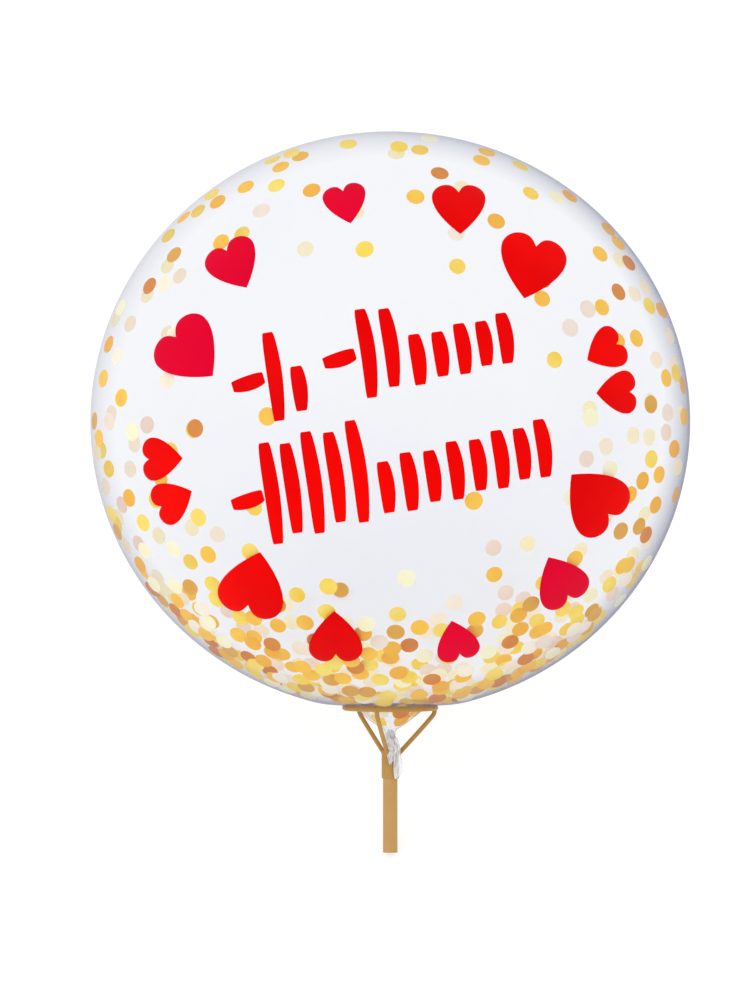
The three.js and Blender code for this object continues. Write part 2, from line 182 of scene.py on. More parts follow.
def mottle_group():
    """The shared effect of slow, cloudy change over a surface: a noise in metres mixes two colours, sets the
    roughness between two values, and gives a height for bumps."""
    group = bpy.data.node_groups.new("slow_mottle", "ShaderNodeTree")
    sockets = (
        ("Colour", "NodeSocketColor", None),
        ("Other colour", "NodeSocketColor", None),
        ("Patches per metre", "NodeSocketFloat", 20),
        ("Least roughness", "NodeSocketFloat", 0.3),
        ("Most roughness", "NodeSocketFloat", 0.5),
    )
    for name, kind, value in sockets:
        socket = group.interface.new_socket(name, in_out="INPUT", socket_type=kind)
        if value is not None:
            socket.default_value = value
    for name, kind in (("Colour", "Color"), ("Roughness", "Float"), ("Height", "Float")):
        group.interface.new_socket(name, in_out="OUTPUT", socket_type=f"NodeSocket{kind}")
    nodes, links = group.nodes, group.links
    given = nodes.new("NodeGroupInput")
    result = nodes.new("NodeGroupOutput")
    place = nodes.new("ShaderNodeTexCoord")
    noise = nodes.new("ShaderNodeTexNoise")
    noise.inputs["Detail"].default_value = NOISE_DETAIL
    spread = nodes.new("ShaderNodeMapRange")
    spread.inputs["From Min"].default_value = NOISE_LOW
    spread.inputs["From Max"].default_value = NOISE_HIGH
    mix = nodes.new("ShaderNodeMix")
    mix.data_type = "RGBA"
    rough = nodes.new("ShaderNodeMapRange")
    links.new(place.outputs["Object"], noise.inputs["Vector"])
    links.new(given.outputs["Patches per metre"], noise.inputs["Scale"])
    links.new(noise.outputs["Fac"], spread.inputs["Value"])
    links.new(spread.outputs["Result"], mix.inputs["Factor"])
    links.new(given.outputs["Colour"], mix.inputs["A"])
    links.new(given.outputs["Other colour"], mix.inputs["B"])
    links.new(noise.outputs["Fac"], rough.inputs["Value"])
    links.new(given.outputs["Least roughness"], rough.inputs["To Min"])
    links.new(given.outputs["Most roughness"], rough.inputs["To Max"])
    links.new(mix.outputs["Result"], result.inputs["Colour"])
    links.new(rough.outputs["Result"], result.inputs["Roughness"])
    links.new(noise.outputs["Fac"], result.inputs["Height"])
    return group


slow_mottle = mottle_group()


def linear(red, green, blue):
    """A colour picked as it shows on a screen, from 0 to 255, as the light that it stands for: a straight
    line through the darkest shares, and above them a power of 2.4."""
    share = np.array([red, green, blue]) / 255
    return (*np.where(share <= 0.04045, share / 12.92, ((share + 0.055) / 1.055) ** 2.4), 1.0)


def mottled(finish, shader, colour, other, patches, roughness, bump=0.0):
    """Puts the shared mottle in a material, with its own values, and feeds it to the given shader. The bump
    is the height of its relief in millimetres."""
    nodes, links = finish.node_tree.nodes, finish.node_tree.links
    mottle = nodes.new("ShaderNodeGroup")
    mottle.node_tree = slow_mottle
    mottle.inputs["Colour"].default_value = colour
    mottle.inputs["Other colour"].default_value = other
    mottle.inputs["Patches per metre"].default_value = patches
    mottle.inputs["Least roughness"].default_value = roughness[0]
    mottle.inputs["Most roughness"].default_value = roughness[1]
    links.new(mottle.outputs["Colour"], shader.inputs["Base Color"])
    links.new(mottle.outputs["Roughness"], shader.inputs["Roughness"])
    if bump:
        relief = nodes.new("ShaderNodeBump")
        relief.inputs["Strength"].default_value = 1.0
        relief.inputs["Distance"].default_value = bump * MM
        links.new(mottle.outputs["Height"], relief.inputs["Height"])
        links.new(relief.outputs["Normal"], shader.inputs["Normal"])


def new_finish(name):
    """A material with its Principled shader alone."""
    finish = bpy.data.materials.new(name)
    finish.use_nodes = True
    return finish, finish.node_tree.nodes["Principled BSDF"]


def film_finish(
    name,
    clear_alpha,
    rim_alpha,
    clear_colours,
    rim_colours,
    rim_start,
    rim_end,
    most=1.0,
    blend=0.5,
    pale=1.0,
):
    """Clear film: a thin see-through shader where it is looked at squarely, and a denser, greyer one where
    the eye passes along it near the outline. Each is see-through by its own plain Alpha. The share of the
    second rises evenly from nothing at rim_start of Facing to most at rim_end, and a lower blend crowds it
    towards the outline. As painted shade, it is cut to the share pale on the side that faces the window, and
    rises evenly across the bubble to the whole on the far side, so that the outline is drawn darker away
    from the window light."""
    finish, clear = new_finish(name)
    nodes, links = finish.node_tree.nodes, finish.node_tree.links
    rim = nodes.new("ShaderNodeBsdfPrincipled")
    clear.inputs["Specular IOR Level"].default_value = FILM_SPECULAR
    rim.inputs["Specular IOR Level"].default_value = 0
    for shader, colours, alpha in ((clear, clear_colours, clear_alpha), (rim, rim_colours, rim_alpha)):
        mottled(finish, shader, linear(*colours[0]), linear(*colours[1]), FILM_PATCHES, FILM_ROUGHNESS)
        shader.inputs["Alpha"].default_value = alpha
    facing = nodes.new("ShaderNodeLayerWeight")
    facing.inputs["Blend"].default_value = blend
    band = nodes.new("ShaderNodeMapRange")
    band.inputs["From Min"].default_value = rim_start
    band.inputs["From Max"].default_value = rim_end
    band.inputs["To Max"].default_value = most
    # Painted shade: the grey outline band is cut back on the window side and kept whole on the far side, so
    # it shows darker there
    place = nodes.new("ShaderNodeTexCoord")
    along = nodes.new("ShaderNodeVectorMath")
    along.operation = "DOT_PRODUCT"
    along.inputs[1].default_value = painted_shade_way
    shade = nodes.new("ShaderNodeMapRange")
    middle_along = painted_shade_way @ bubble_middle
    shade.inputs["From Min"].default_value = middle_along - half_width * MM
    shade.inputs["From Max"].default_value = middle_along + half_width * MM
    shade.inputs["To Min"].default_value = pale
    share = nodes.new("ShaderNodeMath")
    share.operation = "MULTIPLY"
    mix = nodes.new("ShaderNodeMixShader")
    links.new(facing.outputs["Facing"], band.inputs["Value"])
    links.new(place.outputs["Object"], along.inputs[0])
    links.new(along.outputs["Value"], shade.inputs["Value"])
    links.new(band.outputs["Result"], share.inputs[0])
    links.new(shade.outputs["Result"], share.inputs[1])
    links.new(share.outputs["Value"], mix.inputs["Fac"])
    links.new(clear.outputs["BSDF"], mix.inputs[1])
    links.new(rim.outputs["BSDF"], mix.inputs[2])
    links.new(mix.outputs["Shader"], nodes["Material Output"].inputs["Surface"])
    return finish


clear_film = film_finish(
    "clear_film",
    clear_alpha=0.12,
    rim_alpha=0.92,
    clear_colours=[(98, 122, 170), (150, 164, 188)],
    rim_colours=[(72, 84, 132), (128, 128, 152)],
    rim_start=0.24,
    rim_end=0.5,
    most=0.62,
    blend=0.15,
    # painted shade: the share of the grey outline band kept on the window side
    pale=0.32,
)

turn = np.linspace(0, 2 * math.pi, BUBBLE_COLUMNS, endpoint=False)
seat_latitude = math.asin((seat_height + SEAT_ROUNDING * SEAT_EDGE_SHARE) / half_height)
latitude = np.linspace(math.pi / 2, seat_latitude, BUBBLE_ROWS)[1:]
sphere_profile = np.stack([half_width * np.cos(latitude), half_height * np.sin(latitude)], -1)
seat_radius = sphere_profile[-1, 0]
underside = [
    (seat_radius, sphere_profile[-1, 1]),
    (seat_radius - SEAT_ROUNDING, seat_height + SEAT_EDGE_LIFT),
    (seat_radius - 2 * SEAT_ROUNDING, seat_height),
    (RING_DIAMETER / 2, seat_height),
] + [(radius, seat_height + height) for radius, height in FUNNEL]
profile = np.vstack([sphere_profile, through_points(underside, UNDERSIDE_ROWS)[1:]])
radius = profile[:, :1] * np.ones(BUBBLE_COLUMNS)
height = profile[:, 1:] * np.ones(BUBBLE_COLUMNS)
gather = np.clip((PLEAT_START - radius) / PLEAT_START, 0, 1) * (height < 0)
folds = sum(np.cos(count * turn + count**2) for count in PLEATS) / len(PLEATS)
radius = radius * (1 - PLEAT_DEPTH * gather * (1 + folds))
film_rows = np.stack([radius * np.cos(turn), radius * np.sin(turn), height], -1)[:, ::-1]
bubble = skin(
    "film_bubble",
    film_rows,
    (0, 0, half_height),
    (0, 0, profile[-1, 1]),
    clear_film,
    nodes=["balloon_envelope"],
)

# The back of the film is flat where it rests, a hair above the floor
corners = np.array([corner.co[:] for corner in bubble.data.vertices])
corners[:, 2] = np.maximum(corners[:, 2], FLOOR_GAP * MM)
bubble.data.vertices.foreach_set("co", corners.ravel())

# The tail
# What is left of the bag's mouth below the tie: two crumpled lobes of the same film, which hang out
# between two struts and lie against the front of the socket.
TAIL_ROWS = 60
TAIL_COLUMNS = 64
TAIL_ROOT_DROP = 18.4
TAIL_STAND = 6.6
TAIL_THICKNESS_SHARE = 0.2
CRUMPLE_SHARE = 0.22
EDGE_WAVE_SHARE = 0.16
HEM_WAVE = 0.6
# Each lobe's azimuth in degrees, width, length and thickness, the phase of its folds, and its width from
# root to tip as shares
LOBES = [
    ("tail_long_lobe", -55, 7, 16.4, 2.4, 0.4, [0.5, 0.7, 0.75, 0.9, 1, 0.68, 0.82, 0.84, 0.35]),
    ("tail_short_lobe", -88, 5.6, 9, 2.2, 2.1, [0.5, 0.8, 0.75, 0.85, 1, 0.9, 0.6, 0.15]),
]
neck_end = seat_height - TAIL_ROOT_DROP
tail_film = film_finish(
    "crumpled_film",
    clear_alpha=0.5,
    rim_alpha=0.92,
    clear_colours=[(236, 238, 246), (246, 246, 248)],
    rim_colours=[(104, 108, 128), (150, 152, 164)],
    rim_start=0.3,
    rim_end=1.05,
)
for name, azimuth, width, length, thickness, phase, shares in LOBES:
    way = np.array([math.cos(math.radians(azimuth)), math.sin(math.radians(azimuth)), 0])
    side = np.array([-way[1], way[0], 0])

    # Out and up: from inside the neck, over the edge of the socket, and down along it
    path = through_points(
        [
            [0, neck_end + 4.2],
            [0.6, neck_end + 1.5],
            [TAIL_STAND * 0.55, (neck_end + socket_top) / 2 + 1.6],
            [TAIL_STAND, socket_top + 0.5],
            [TAIL_STAND + 0.2, socket_top + 1 - length / 2],
            [TAIL_STAND, socket_top + 1 - length],
        ],
        TAIL_ROWS,
    )
    t = np.linspace(0, 1, TAIL_ROWS)[:, None]
    around = np.linspace(0, 2 * math.pi, TAIL_COLUMNS, endpoint=False)[None, :]
    swell = through_points([[share] for share in shares], TAIL_ROWS)
    share = np.cos(around)
    across = width / 2 * swell * (share + EDGE_WAVE_SHARE * np.sin(8 * t + phase))

    # The crumple is three waves that run askew, each about twice as fine as the one before, and it grows
    # from the root over the first third of the lobe
    crumple = np.sin(2.7 * share + 6 * t + phase) + 0.7 * np.sin(13 * t - 4.3 * share + 2 * phase)
    crumple = crumple + 0.6 * np.sin(24 * t + 6 * share)
    crumple = CRUMPLE_SHARE * crumple * np.clip(t * 3, 0.2, 1)
    out = path[:, :1] + thickness * (TAIL_THICKNESS_SHARE * np.sin(around) * swell + crumple)
    rows = out[..., None] * way + across[..., None] * side
    rows[..., 2] = path[:, 1:] + HEM_WAVE * np.sin(3 * share + phase) * t**4
    first = path[0, 0] * way + [0, 0, path[0, 1]]
    last = rows[-1].mean(0)
    skin(name, rows, first, last, tail_film)

# The confetti
# Loose rounds punched from tissue and foil in golds, creams and blush. They cling to the inside of the
# film, thinly round the sides and in a heap at the bottom, and a few have slipped into the funnel.
DOT_DIAMETER = 10
DOT_THICKNESS = 0.12
DOT_SIDES = 16
DOT_CURL = 0.05
DOT_TURN_TO_FRONT = 0.36
DOT_TILT = 1.6
DOT_CLEARANCE = 0.8
SEAT_CLEARANCE = 1
DOT_PATCHES = 90
DOT_ROUGHNESS = (0.4, 0.6)
DOT_SPECULAR = 0.1
# How many rounds are tried for each 1000 square millimetres of film, and how near their middles come
SIDE_TRIES = 1.5
HEAP_TRIES = 9
SIDE_SPACING = 13
HEAP_SPACING = 6.2
# Where the rounds on the sides start and are thickest, as shares of the way from the outline to the front
SIDE_START = 0.97
SIDE_THICKEST = 0.6
# Where the heap starts and is thickest, as shares of the way down, and how much of it climbs the sides
HEAP_START = 0.47
HEAP_THICKEST = 0.95
HEAP_CLIMB = 0.25
HEAP_SHARPNESS = 1.5
HEAP_DEPTH = 1.8
# Radius and depth below the seat of each level of rounds in the funnel
FUNNEL_LEVELS = [(15.6, 4.2), (9.2, 8.8)]
FUNNEL_COUNTS = [8, 4]
FUNNEL_SLOPE = 1.15
FUNNEL_UNEVENNESS = 0.1
# Each colour with the paler one it is mottled with, and its share of the rounds in front and behind
COLOURS = [
    ("confetti_golden_yellow", (255, 214, 30), (255, 232, 112), 0.27, 0.17),
    ("confetti_gold", (255, 192, 16), (255, 206, 60), 0.20, 0.07),
    ("confetti_amber", (246, 176, 4), (248, 186, 36), 0.14, 0.04),
    ("confetti_ochre", (224, 162, 30), (230, 174, 62), 0.11, 0.02),
    ("confetti_bronze", (216, 126, 0), (224, 142, 20), 0.09, 0.01),
    ("confetti_lemon", (255, 247, 196), (255, 251, 220), 0.09, 0.30),
    ("confetti_cream", (253, 240, 210), (255, 246, 228), 0.06, 0.26),
    ("confetti_blush", (244, 222, 204), (248, 232, 214), 0.04, 0.13),
]
rng = np.random.default_rng(26)


def eased(value, low, high):
    """0 at low, 1 at high, and between them three times the square less twice the cube of the way."""
    t = np.clip((value - low) / (high - low), 0, 1)
    return t * t * (3 - 2 * t)


def spread_rounds(tries, likely, spacing):
    """Random ways out from the middle: from the given number of tries, each is kept by its likelihood and
    when no earlier one that was kept lies nearer to it on the film than its spacing in millimetres."""
    ways = rng.normal(size=(tries, 3))
    ways /= np.linalg.norm(ways, axis=1, keepdims=True)
    ways = ways[rng.random(tries) < likely(ways)]
    near = spacing(ways) / half_width
    taken = np.zeros((0, 3))
    for way, limit in zip(ways, near):
        if not len(taken) or np.linalg.norm(taken - way, axis=1).min() > limit:
            taken = np.vstack([taken, way])
    return taken


def heap_share(ways):
    """How far a place on the film belongs to the heap at the bottom, from 0 to 1. The heap climbs up the
    sides, by the square of how far out a place is."""
    return eased(HEAP_CLIMB * ways[:, 0] ** 2 - ways[:, 2], HEAP_START, HEAP_THICKEST)


def side_share(ways):
    """How likely a place on the side of the film holds a round: most where the film turns away from the
    front, and from one half at the top to the whole at the bottom, a little sooner on the right."""
    turned_away = eased(np.abs(ways[:, 1]), SIDE_START, SIDE_THICKEST)
    low_down = eased(0.1 * ways[:, 0] - ways[:, 2], -0.5, 0.5)
    return turned_away * (0.5 + 0.5 * low_down)


wall_area = 4 * math.pi * half_width**2 / 1000
side_rounds = spread_rounds(
    int(wall_area * SIDE_TRIES),
    lambda ways: side_share(ways) * (1 - heap_share(ways)),
    lambda ways: SIDE_SPACING * (1.5 - 0.5 * side_share(ways)),
)
heap_rounds = spread_rounds(
    int(wall_area * HEAP_TRIES),
    lambda ways: heap_share(ways) ** HEAP_SHARPNESS,
    lambda ways: SIDE_SPACING + (HEAP_SPACING - SIDE_SPACING) * heap_share(ways),
)
wall = np.vstack([side_rounds, heap_rounds])
heaped = heap_share(wall)
axes = np.array([half_width, half_width, half_height])
normal = wall / axes
normal /= np.linalg.norm(normal, axis=1, keepdims=True)
tilt = np.radians(DOT_TILT) * rng.normal(size=wall.shape)
turn_to_front = DOT_TURN_TO_FRONT * np.sign(wall[:, 1:2]) * [0, 1, 0]
leaning = normal + turn_to_front + tilt
leaning /= np.linalg.norm(leaning, axis=1, keepdims=True)
lean = np.arccos(np.clip((leaning * normal).sum(1), -1, 1))
depth = DOT_CLEARANCE + DOT_DIAMETER / 2 * np.sin(lean) + heaped * rng.exponential(HEAP_DEPTH, len(wall))
middles = wall * axes - normal * depth[:, None]
is_front = wall[:, 1] < 0

# The heap stays above the pressed underside, where the wall is flatter than the sphere
floor_of_heap = seat_height + SEAT_CLEARANCE + DOT_DIAMETER / 2 * np.sin(lean)
middles[:, 2] = np.maximum(middles[:, 2], floor_of_heap)

# In the funnel they lie side by side on its slope, a ring of them at each level
slip_radius, slip_drop = np.repeat(FUNNEL_LEVELS, FUNNEL_COUNTS, axis=0).T
slip_place = np.concatenate([(np.arange(count) + rng.random()) / count for count in FUNNEL_COUNTS])
slip_way = np.stack([np.cos(2 * math.pi * slip_place), np.sin(2 * math.pi * slip_place)], -1)
slip = np.column_stack([slip_radius[:, None] * slip_way, seat_height - slip_drop])
slip_normal = np.column_stack([slip_way, FUNNEL_UNEVENNESS * rng.normal(size=len(slip)) - FUNNEL_SLOPE])
slip_normal /= np.linalg.norm(slip_normal, axis=1, keepdims=True)
middles = np.vstack([middles, slip])
leaning = np.vstack([leaning, slip_normal])
is_front = np.append(is_front, np.ones(len(slip), bool))


def dots(centres, normals):
    """Curled rounds: a ring of points about each centre in the plane across its normal, bent along the
    normal by the square of one side's cosine, with a face above and a face below."""
    helper = np.where(np.abs(normals[:, 2:]) < 0.8, [0, 0, 1], [1, 0, 0])
    one = np.cross(normals, helper)
    one /= np.linalg.norm(one, axis=1, keepdims=True)
    spin = rng.random(len(centres))[:, None] * 2 * math.pi
    two = np.cross(normals, one)
    one, two = one * np.cos(spin) + two * np.sin(spin), two * np.cos(spin) - one * np.sin(spin)
    angle = np.linspace(0, 2 * math.pi, DOT_SIDES, endpoint=False)
    curl = DOT_CURL * rng.normal(size=(len(centres), 1)) * np.cos(angle) ** 2
    ring = centres[:, None] + DOT_DIAMETER / 2 * (
        np.cos(angle)[:, None] * one[:, None] + np.sin(angle)[:, None] * two[:, None]
    )
    ring = ring + curl[..., None] * normals[:, None]
    half = normals[:, None] * DOT_THICKNESS / 2
    below, above = centres[:, None] - half, centres[:, None] + half
    points = np.concatenate([below, ring - half, ring + half, above], axis=1)
    one_round = tube_faces(2, DOT_SIDES)
    starts = range(0, points.shape[0] * points.shape[1], points.shape[1])
    faces = [[start + corner for corner in face] for start in starts for face in one_round]
    return points.reshape(-1, 3), faces


front_share = np.array([colour[3] for colour in COLOURS])
back_share = np.array([colour[4] for colour in COLOURS])
draw = rng.random(len(middles))
front_pick = np.searchsorted(np.cumsum(front_share) / front_share.sum(), draw)
back_pick = np.searchsorted(np.cumsum(back_share) / back_share.sum(), draw)
pick = np.where(is_front, front_pick, back_pick)
for number, (name, colour, other, *_) in enumerate(COLOURS):
    finish, shader = new_finish(name)
    mottled(finish, shader, linear(*colour), linear(*other), DOT_PATCHES, DOT_ROUGHNESS)
    shader.inputs["Specular IOR Level"].default_value = DOT_SPECULAR
    chosen = pick == number
    points, faces = dots(middles[chosen], leaning[chosen])
    piece(name, laid_down(points), faces, finish)

# The hearts
# Hearts cut from red and crimson vinyl and stuck round the front of the bubble, points inwards. Vinyl cut
# for the sides of the bubble is made wider towards them, so that it looks the right shape from the front.
VINYL_THICKNESS = 0.3
VINYL_EDGE = 0.12
VINYL_PATCHES = 16
VINYL_ROUGHNESS = (0.36, 0.5)
VINYL_BUMP = 0.02
VINYL_SPECULAR = 0.02
RIM_WIDENING = 1
SMALL_HEART = 8
MEDIUM_HEART = 10
LARGE_HEART = 12.6
HEART_PAIR_GAP = 0.1
RIGHT_PAIR_NORTH = 13.1
LEFT_PAIR_NORTH = -7.7
pair_pitch = SMALL_HEART + HEART_PAIR_GAP
# Each heart's place in degrees east and north of the front, its width and turn in degrees, and its colour
HEARTS = [
    ("heart_top_left", -11.9, 45.6, SMALL_HEART, 13, "crimson"),
    ("heart_top_right", 18, 44.4, MEDIUM_HEART, 2, "red"),
    ("heart_upper_right", 31.6, 30.3, LARGE_HEART, -13, "red"),
    ("heart_right_pair_upper", 45, RIGHT_PAIR_NORTH, SMALL_HEART, -61, "red"),
    ("heart_right_pair_lower", 46.8, RIGHT_PAIR_NORTH - pair_pitch, SMALL_HEART, -87, "red"),
    ("heart_right_large", 42.8, -15.5, LARGE_HEART, -136, "red"),
    ("heart_lower_right", 40.6, -32.7, MEDIUM_HEART, -152, "crimson"),
    ("heart_bottom_right", 18.4, -47.8, SMALL_HEART, -166, "crimson"),
    ("heart_bottom_left", -15.2, -46.8, MEDIUM_HEART, 182, "red"),
    ("heart_lower_left", -32.3, -33.6, LARGE_HEART, 167, "red"),
    ("heart_left_pair_lower", -46.7, LEFT_PAIR_NORTH - pair_pitch, SMALL_HEART, 116, "red"),
    ("heart_left_pair_upper", -48, LEFT_PAIR_NORTH, SMALL_HEART, 91, "red"),
    ("heart_left_large", -41.4, 12.7, LARGE_HEART, 43, "crimson"),
    ("heart_upper_left", -35.8, 30.7, MEDIUM_HEART, 28, "crimson"),
]
HEART_STEPS = 14
HEART_CURVES = [
    [(0, 0.61), (-0.11, 0.8), (-0.21, 0.95), (-0.45, 0.95)],
    [(-0.45, 0.95), (-0.75, 0.95), (-1, 0.72), (-1, 0.43)],
    [(-1, 0.43), (-1, -0.05), (-0.51, -0.61), (0, -0.97)],
]
# How far each row of a sticker lies from its middle, as a share, and above the film, from back to face
back = CONTACT_GAP
face = CONTACT_GAP + VINYL_THICKNESS
STICKER_ROWS = [(0.3, back), (0.7, back), (1, back), (1, face - VINYL_EDGE), (0.985, face)]
STICKER_ROWS += [(share, face) for share in (0.85, 0.65, 0.45, 0.25)]


def on_film(east, north, across, up, lift):
    """Where points of a sticker come to lie, as places across and up from its middle, seen from the front.
    They are laid on the plane that touches the bubble there, stretched towards the rim by a power of how
    much the rim narrows them, drawn in to the spheroid, and lifted along its normal."""
    east, north = math.radians(east), math.radians(north)
    middle = axes * [math.cos(north) * math.sin(east), -math.cos(north) * math.cos(east), math.sin(north)]
    normal = middle / axes**2
    normal /= np.linalg.norm(normal)
    front = np.array([0, -1, 0])
    facing = normal @ front
    outward = normal * facing - front
    length = np.linalg.norm(outward)
    outward = outward / length if length > 1e-6 else right_way
    sideways = np.cross(outward, normal)
    shown = math.hypot(outward[0], outward[2])
    towards_rim = (across * outward[0] + up * outward[2]) / shown * facing**-RIM_WIDENING
    round_rim = across * sideways[0] + up * sideways[2]
    points = middle + towards_rim[..., None] * outward + round_rim[..., None] * sideways
    points = points / np.linalg.norm(points / axes, axis=-1, keepdims=True)
    normals = points / axes**2
    normals = normals / np.linalg.norm(normals, axis=-1, keepdims=True)
    return points + normals * lift[..., None]


def heart_outline(steps):
    """A heart two across, going round from its cleft: three cubic curves down one side, and their mirror."""
    t = np.linspace(0, 1, steps, endpoint=False)[:, None]
    left = []
    for curve in HEART_CURVES:
        a, b, c, d = np.array(curve)
        left.append(a * (1 - t) ** 3 + 3 * b * t * (1 - t) ** 2 + 3 * c * t**2 * (1 - t) + d * t**3)
    left = np.vstack([*left, HEART_CURVES[-1][-1]])
    return np.vstack([left, left[-2:0:-1] * [-1, 1]])


def vinyl_finish(name, colour, other):
    """Cut vinyl: a satin red, a little cloudy where it is stretched over the film."""
    finish, shader = new_finish(name)
    mottled(finish, shader, linear(*colour), linear(*other), VINYL_PATCHES, VINYL_ROUGHNESS, VINYL_BUMP)
    shader.inputs["Specular IOR Level"].default_value = VINYL_SPECULAR
    return finish


vinyl = {
    "red": vinyl_finish("red_vinyl", (210, 0, 4), (232, 4, 0)),
    "crimson": vinyl_finish("crimson_vinyl", (206, 0, 40), (222, 0, 46)),
}
outline = heart_outline(HEART_STEPS)
for name, east, north, width, turned, shade in HEARTS:
    size = math.radians(width) * half_width / 2
    angle = math.radians(turned)
    rotation = np.array([[math.cos(angle), math.sin(angle)], [-math.sin(angle), math.cos(angle)]])
    spun = outline @ rotation * size
    shares, lifts = np.array(STICKER_ROWS).T
    flat = shares[:, None, None] * spun
    rows = on_film(east, north, flat[..., 0], flat[..., 1], lifts[:, None] * np.ones(len(spun)))
    ends = on_film(east, north, np.zeros(2), np.zeros(2), np.array([back, face]))
    skin(f"{name}_vinyl", rows, ends[0], ends[1], vinyl[shade], nodes=[name])

# The brush strokes
# Two slanting rows of blunt strokes cut from the same red vinyl, with a lying dash before each run. Tall
# strokes come first and short ones after, and every second one is a little shorter.
STROKE_WIDTH = 2.8
STROKE_SPACING = 1.6
ROW_SLOPE = 14
ROW_GAP = 3.8
UPPER_BASELINE = 4.7
UPPER_TALL = 16.4
UPPER_SHORT = 9.3
LOWER_TALL = 18.8
LOWER_SHORT = 10.6
DASH_LENGTH = 6
DASH_TURN = -73
DASH_HEIGHT_SHARE = 0.5
STROKE_LEAN = 8
STROKE_BOW = 0.03
STROKE_TIP_SHARE = 0.62
STROKE_BLUNTNESS = 0.5
STROKE_TOP_WEIGHT = 1.2
ALTERNATE_STROKE_SHARE = 0.88
STROKE_FLAT_SHARE = 0.94
lower_baseline = UPPER_BASELINE - ROW_GAP - LOWER_TALL
# Each run's start and baseline in degrees, and the count and length of its tall and of its short strokes
RUNS = [
    ("stroke_upper_first", -19.5, UPPER_BASELINE, 1, UPPER_TALL, 1, UPPER_SHORT),
    ("stroke_upper_second", -1.4, UPPER_BASELINE, 2, UPPER_TALL, 5, UPPER_SHORT),
    ("stroke_lower", -26, lower_baseline, 5, LOWER_TALL, 8, LOWER_SHORT),
]
STROKE_ROWS = 40


def brush_stroke(name, east, north, length, turned):
    """One stroke: its width is a blunted half wave along its length, and its middle line bows by another.
    Across, it runs from one side of its back over its face and round to the other side."""
    angle = math.radians(turned)
    size = math.radians(length) * half_width
    t = np.linspace(0, 1, STROKE_ROWS)
    bow = STROKE_BOW * size * (np.sin(math.pi * t) - 0.5)
    fullness = np.abs(np.sin(math.pi * t**STROKE_TOP_WEIGHT)) ** STROKE_BLUNTNESS
    fullness = STROKE_TIP_SHARE + (1 - STROKE_TIP_SHARE) * fullness
    half = math.radians(STROKE_WIDTH) * half_width / 2 * fullness
    flat = STROKE_FLAT_SHARE
    edge = face - VINYL_EDGE
    shares = np.array([-1, -1, -flat, -0.5, 0, 0.5, flat, 1, 1, 0])
    lifts = np.array([back, edge, face, face, face, face, face, edge, back, back])
    x = bow[:, None] + half[:, None] * shares
    y = (t[:, None] - 0.5) * size * np.ones(len(shares))
    across = x * math.cos(angle) - y * math.sin(angle)
    up = x * math.sin(angle) + y * math.cos(angle)
    rows = on_film(east, north, across, up, lifts * np.ones((STROKE_ROWS, 1)))
    skin(f"{name}_vinyl", rows, rows[0].mean(0), rows[-1].mean(0), vinyl["red"], nodes=[name])


pitch = STROKE_WIDTH + STROKE_SPACING
slope = math.radians(ROW_SLOPE)
for run, start, baseline, talls, tall, shorts, short in RUNS:
    along = [start - pitch / 2 - DASH_LENGTH / 2] + [start + i * pitch for i in range(talls + shorts)]
    lengths = [tall if i < talls else short for i in range(talls + shorts)]
    above = [baseline + DASH_HEIGHT_SHARE * tall] + [baseline + length / 2 for length in lengths]
    cut = [DASH_LENGTH]
    cut += [length * (ALTERNATE_STROKE_SHARE if i % 2 else 1) for i, length in enumerate(lengths)]
    for i, (x, y, length) in enumerate(zip(along, above, cut)):
        east = x * math.cos(slope) - y * math.sin(slope)
        north = x * math.sin(slope) + y * math.cos(slope)
        brush_stroke(f"{run}_{i:02d}", east, north, length, STROKE_LEAN if i else DASH_TURN)

# The holder
# Moulded in one from tan plastic: a ring that the bubble sits in, three struts that leave it with an
# elbow and slant in, and a socket for the stick. The mould leaves soft fillets where they meet.
RING_THICKNESS = 3.1
STRUT_DIAMETER = 2.6
STRUT_AZIMUTH = 13
STRUT_ROOT_DROP = 1.6
STRUT_BULGE = 0.1
STRUT_BULGE_DROP = 3.8
STRUT_ELBOW_DROP = 5.5
STRUT_FOOT_DROP = 2.6
SOCKET_LENGTH = 16
SOCKET_WALL = 0.6
STICK_DIAMETER = 8.2
SOCKET_CLEARANCE = 0.15
FILLET_VOXEL = 0.24
FILLET_ROUNDS = 4
ELBOW_SHARE = 0.12
MOUTH_LIP = 0.15
MOUTH_CHAMFER = 0.2
CAP_ROUNDING = 1.2
PLASTIC_SPECULAR = 0.15
RING_TURNS = 160
TUBE_SIDES = 24
STRUT_ROWS = 40
SOCKET_COLUMNS = 64
bore_radius = STICK_DIAMETER / 2 + SOCKET_CLEARANCE
socket_radius = bore_radius + SOCKET_WALL
socket_end = socket_top - SOCKET_LENGTH
ring_line = RING_DIAMETER / 2 - RING_THICKNESS / 2


def tube_along(path, radius, columns):
    """Rows of points round a path: each row is a circle in the plane of the level way across the path and
    the way that is square to it and to the path's own direction."""
    way = np.gradient(path, axis=0)
    way /= np.linalg.norm(way, axis=1, keepdims=True)
    side = np.cross(way, [0, 0, 1.0])
    side /= np.linalg.norm(side, axis=1, keepdims=True)
    out = np.cross(way, side)
    angle = np.linspace(0, 2 * math.pi, columns, endpoint=False)[None, :, None]
    return path[:, None] + radius * (np.cos(angle) * side[:, None] + np.sin(angle) * out[:, None])


def turned_rows(profile, columns):
    """Rows of points from a profile of radius and height, each turned round the upright axis."""
    angle = np.linspace(0, 2 * math.pi, columns, endpoint=False)
    radius, height = np.array(profile, float).T
    flat = np.stack([radius[:, None] * np.cos(angle), radius[:, None] * np.sin(angle)], -1)
    return np.concatenate([flat, height[:, None, None] * np.ones((1, columns, 1))], -1)


def joined(parts):
    """Several skins as the points and faces of one mesh."""
    points, faces, count = [], [], 0
    for part_points, part_faces in parts:
        points.append(part_points)
        faces += [[corner + count for corner in each] for each in part_faces]
        count += len(part_points)
    return np.vstack(points), faces


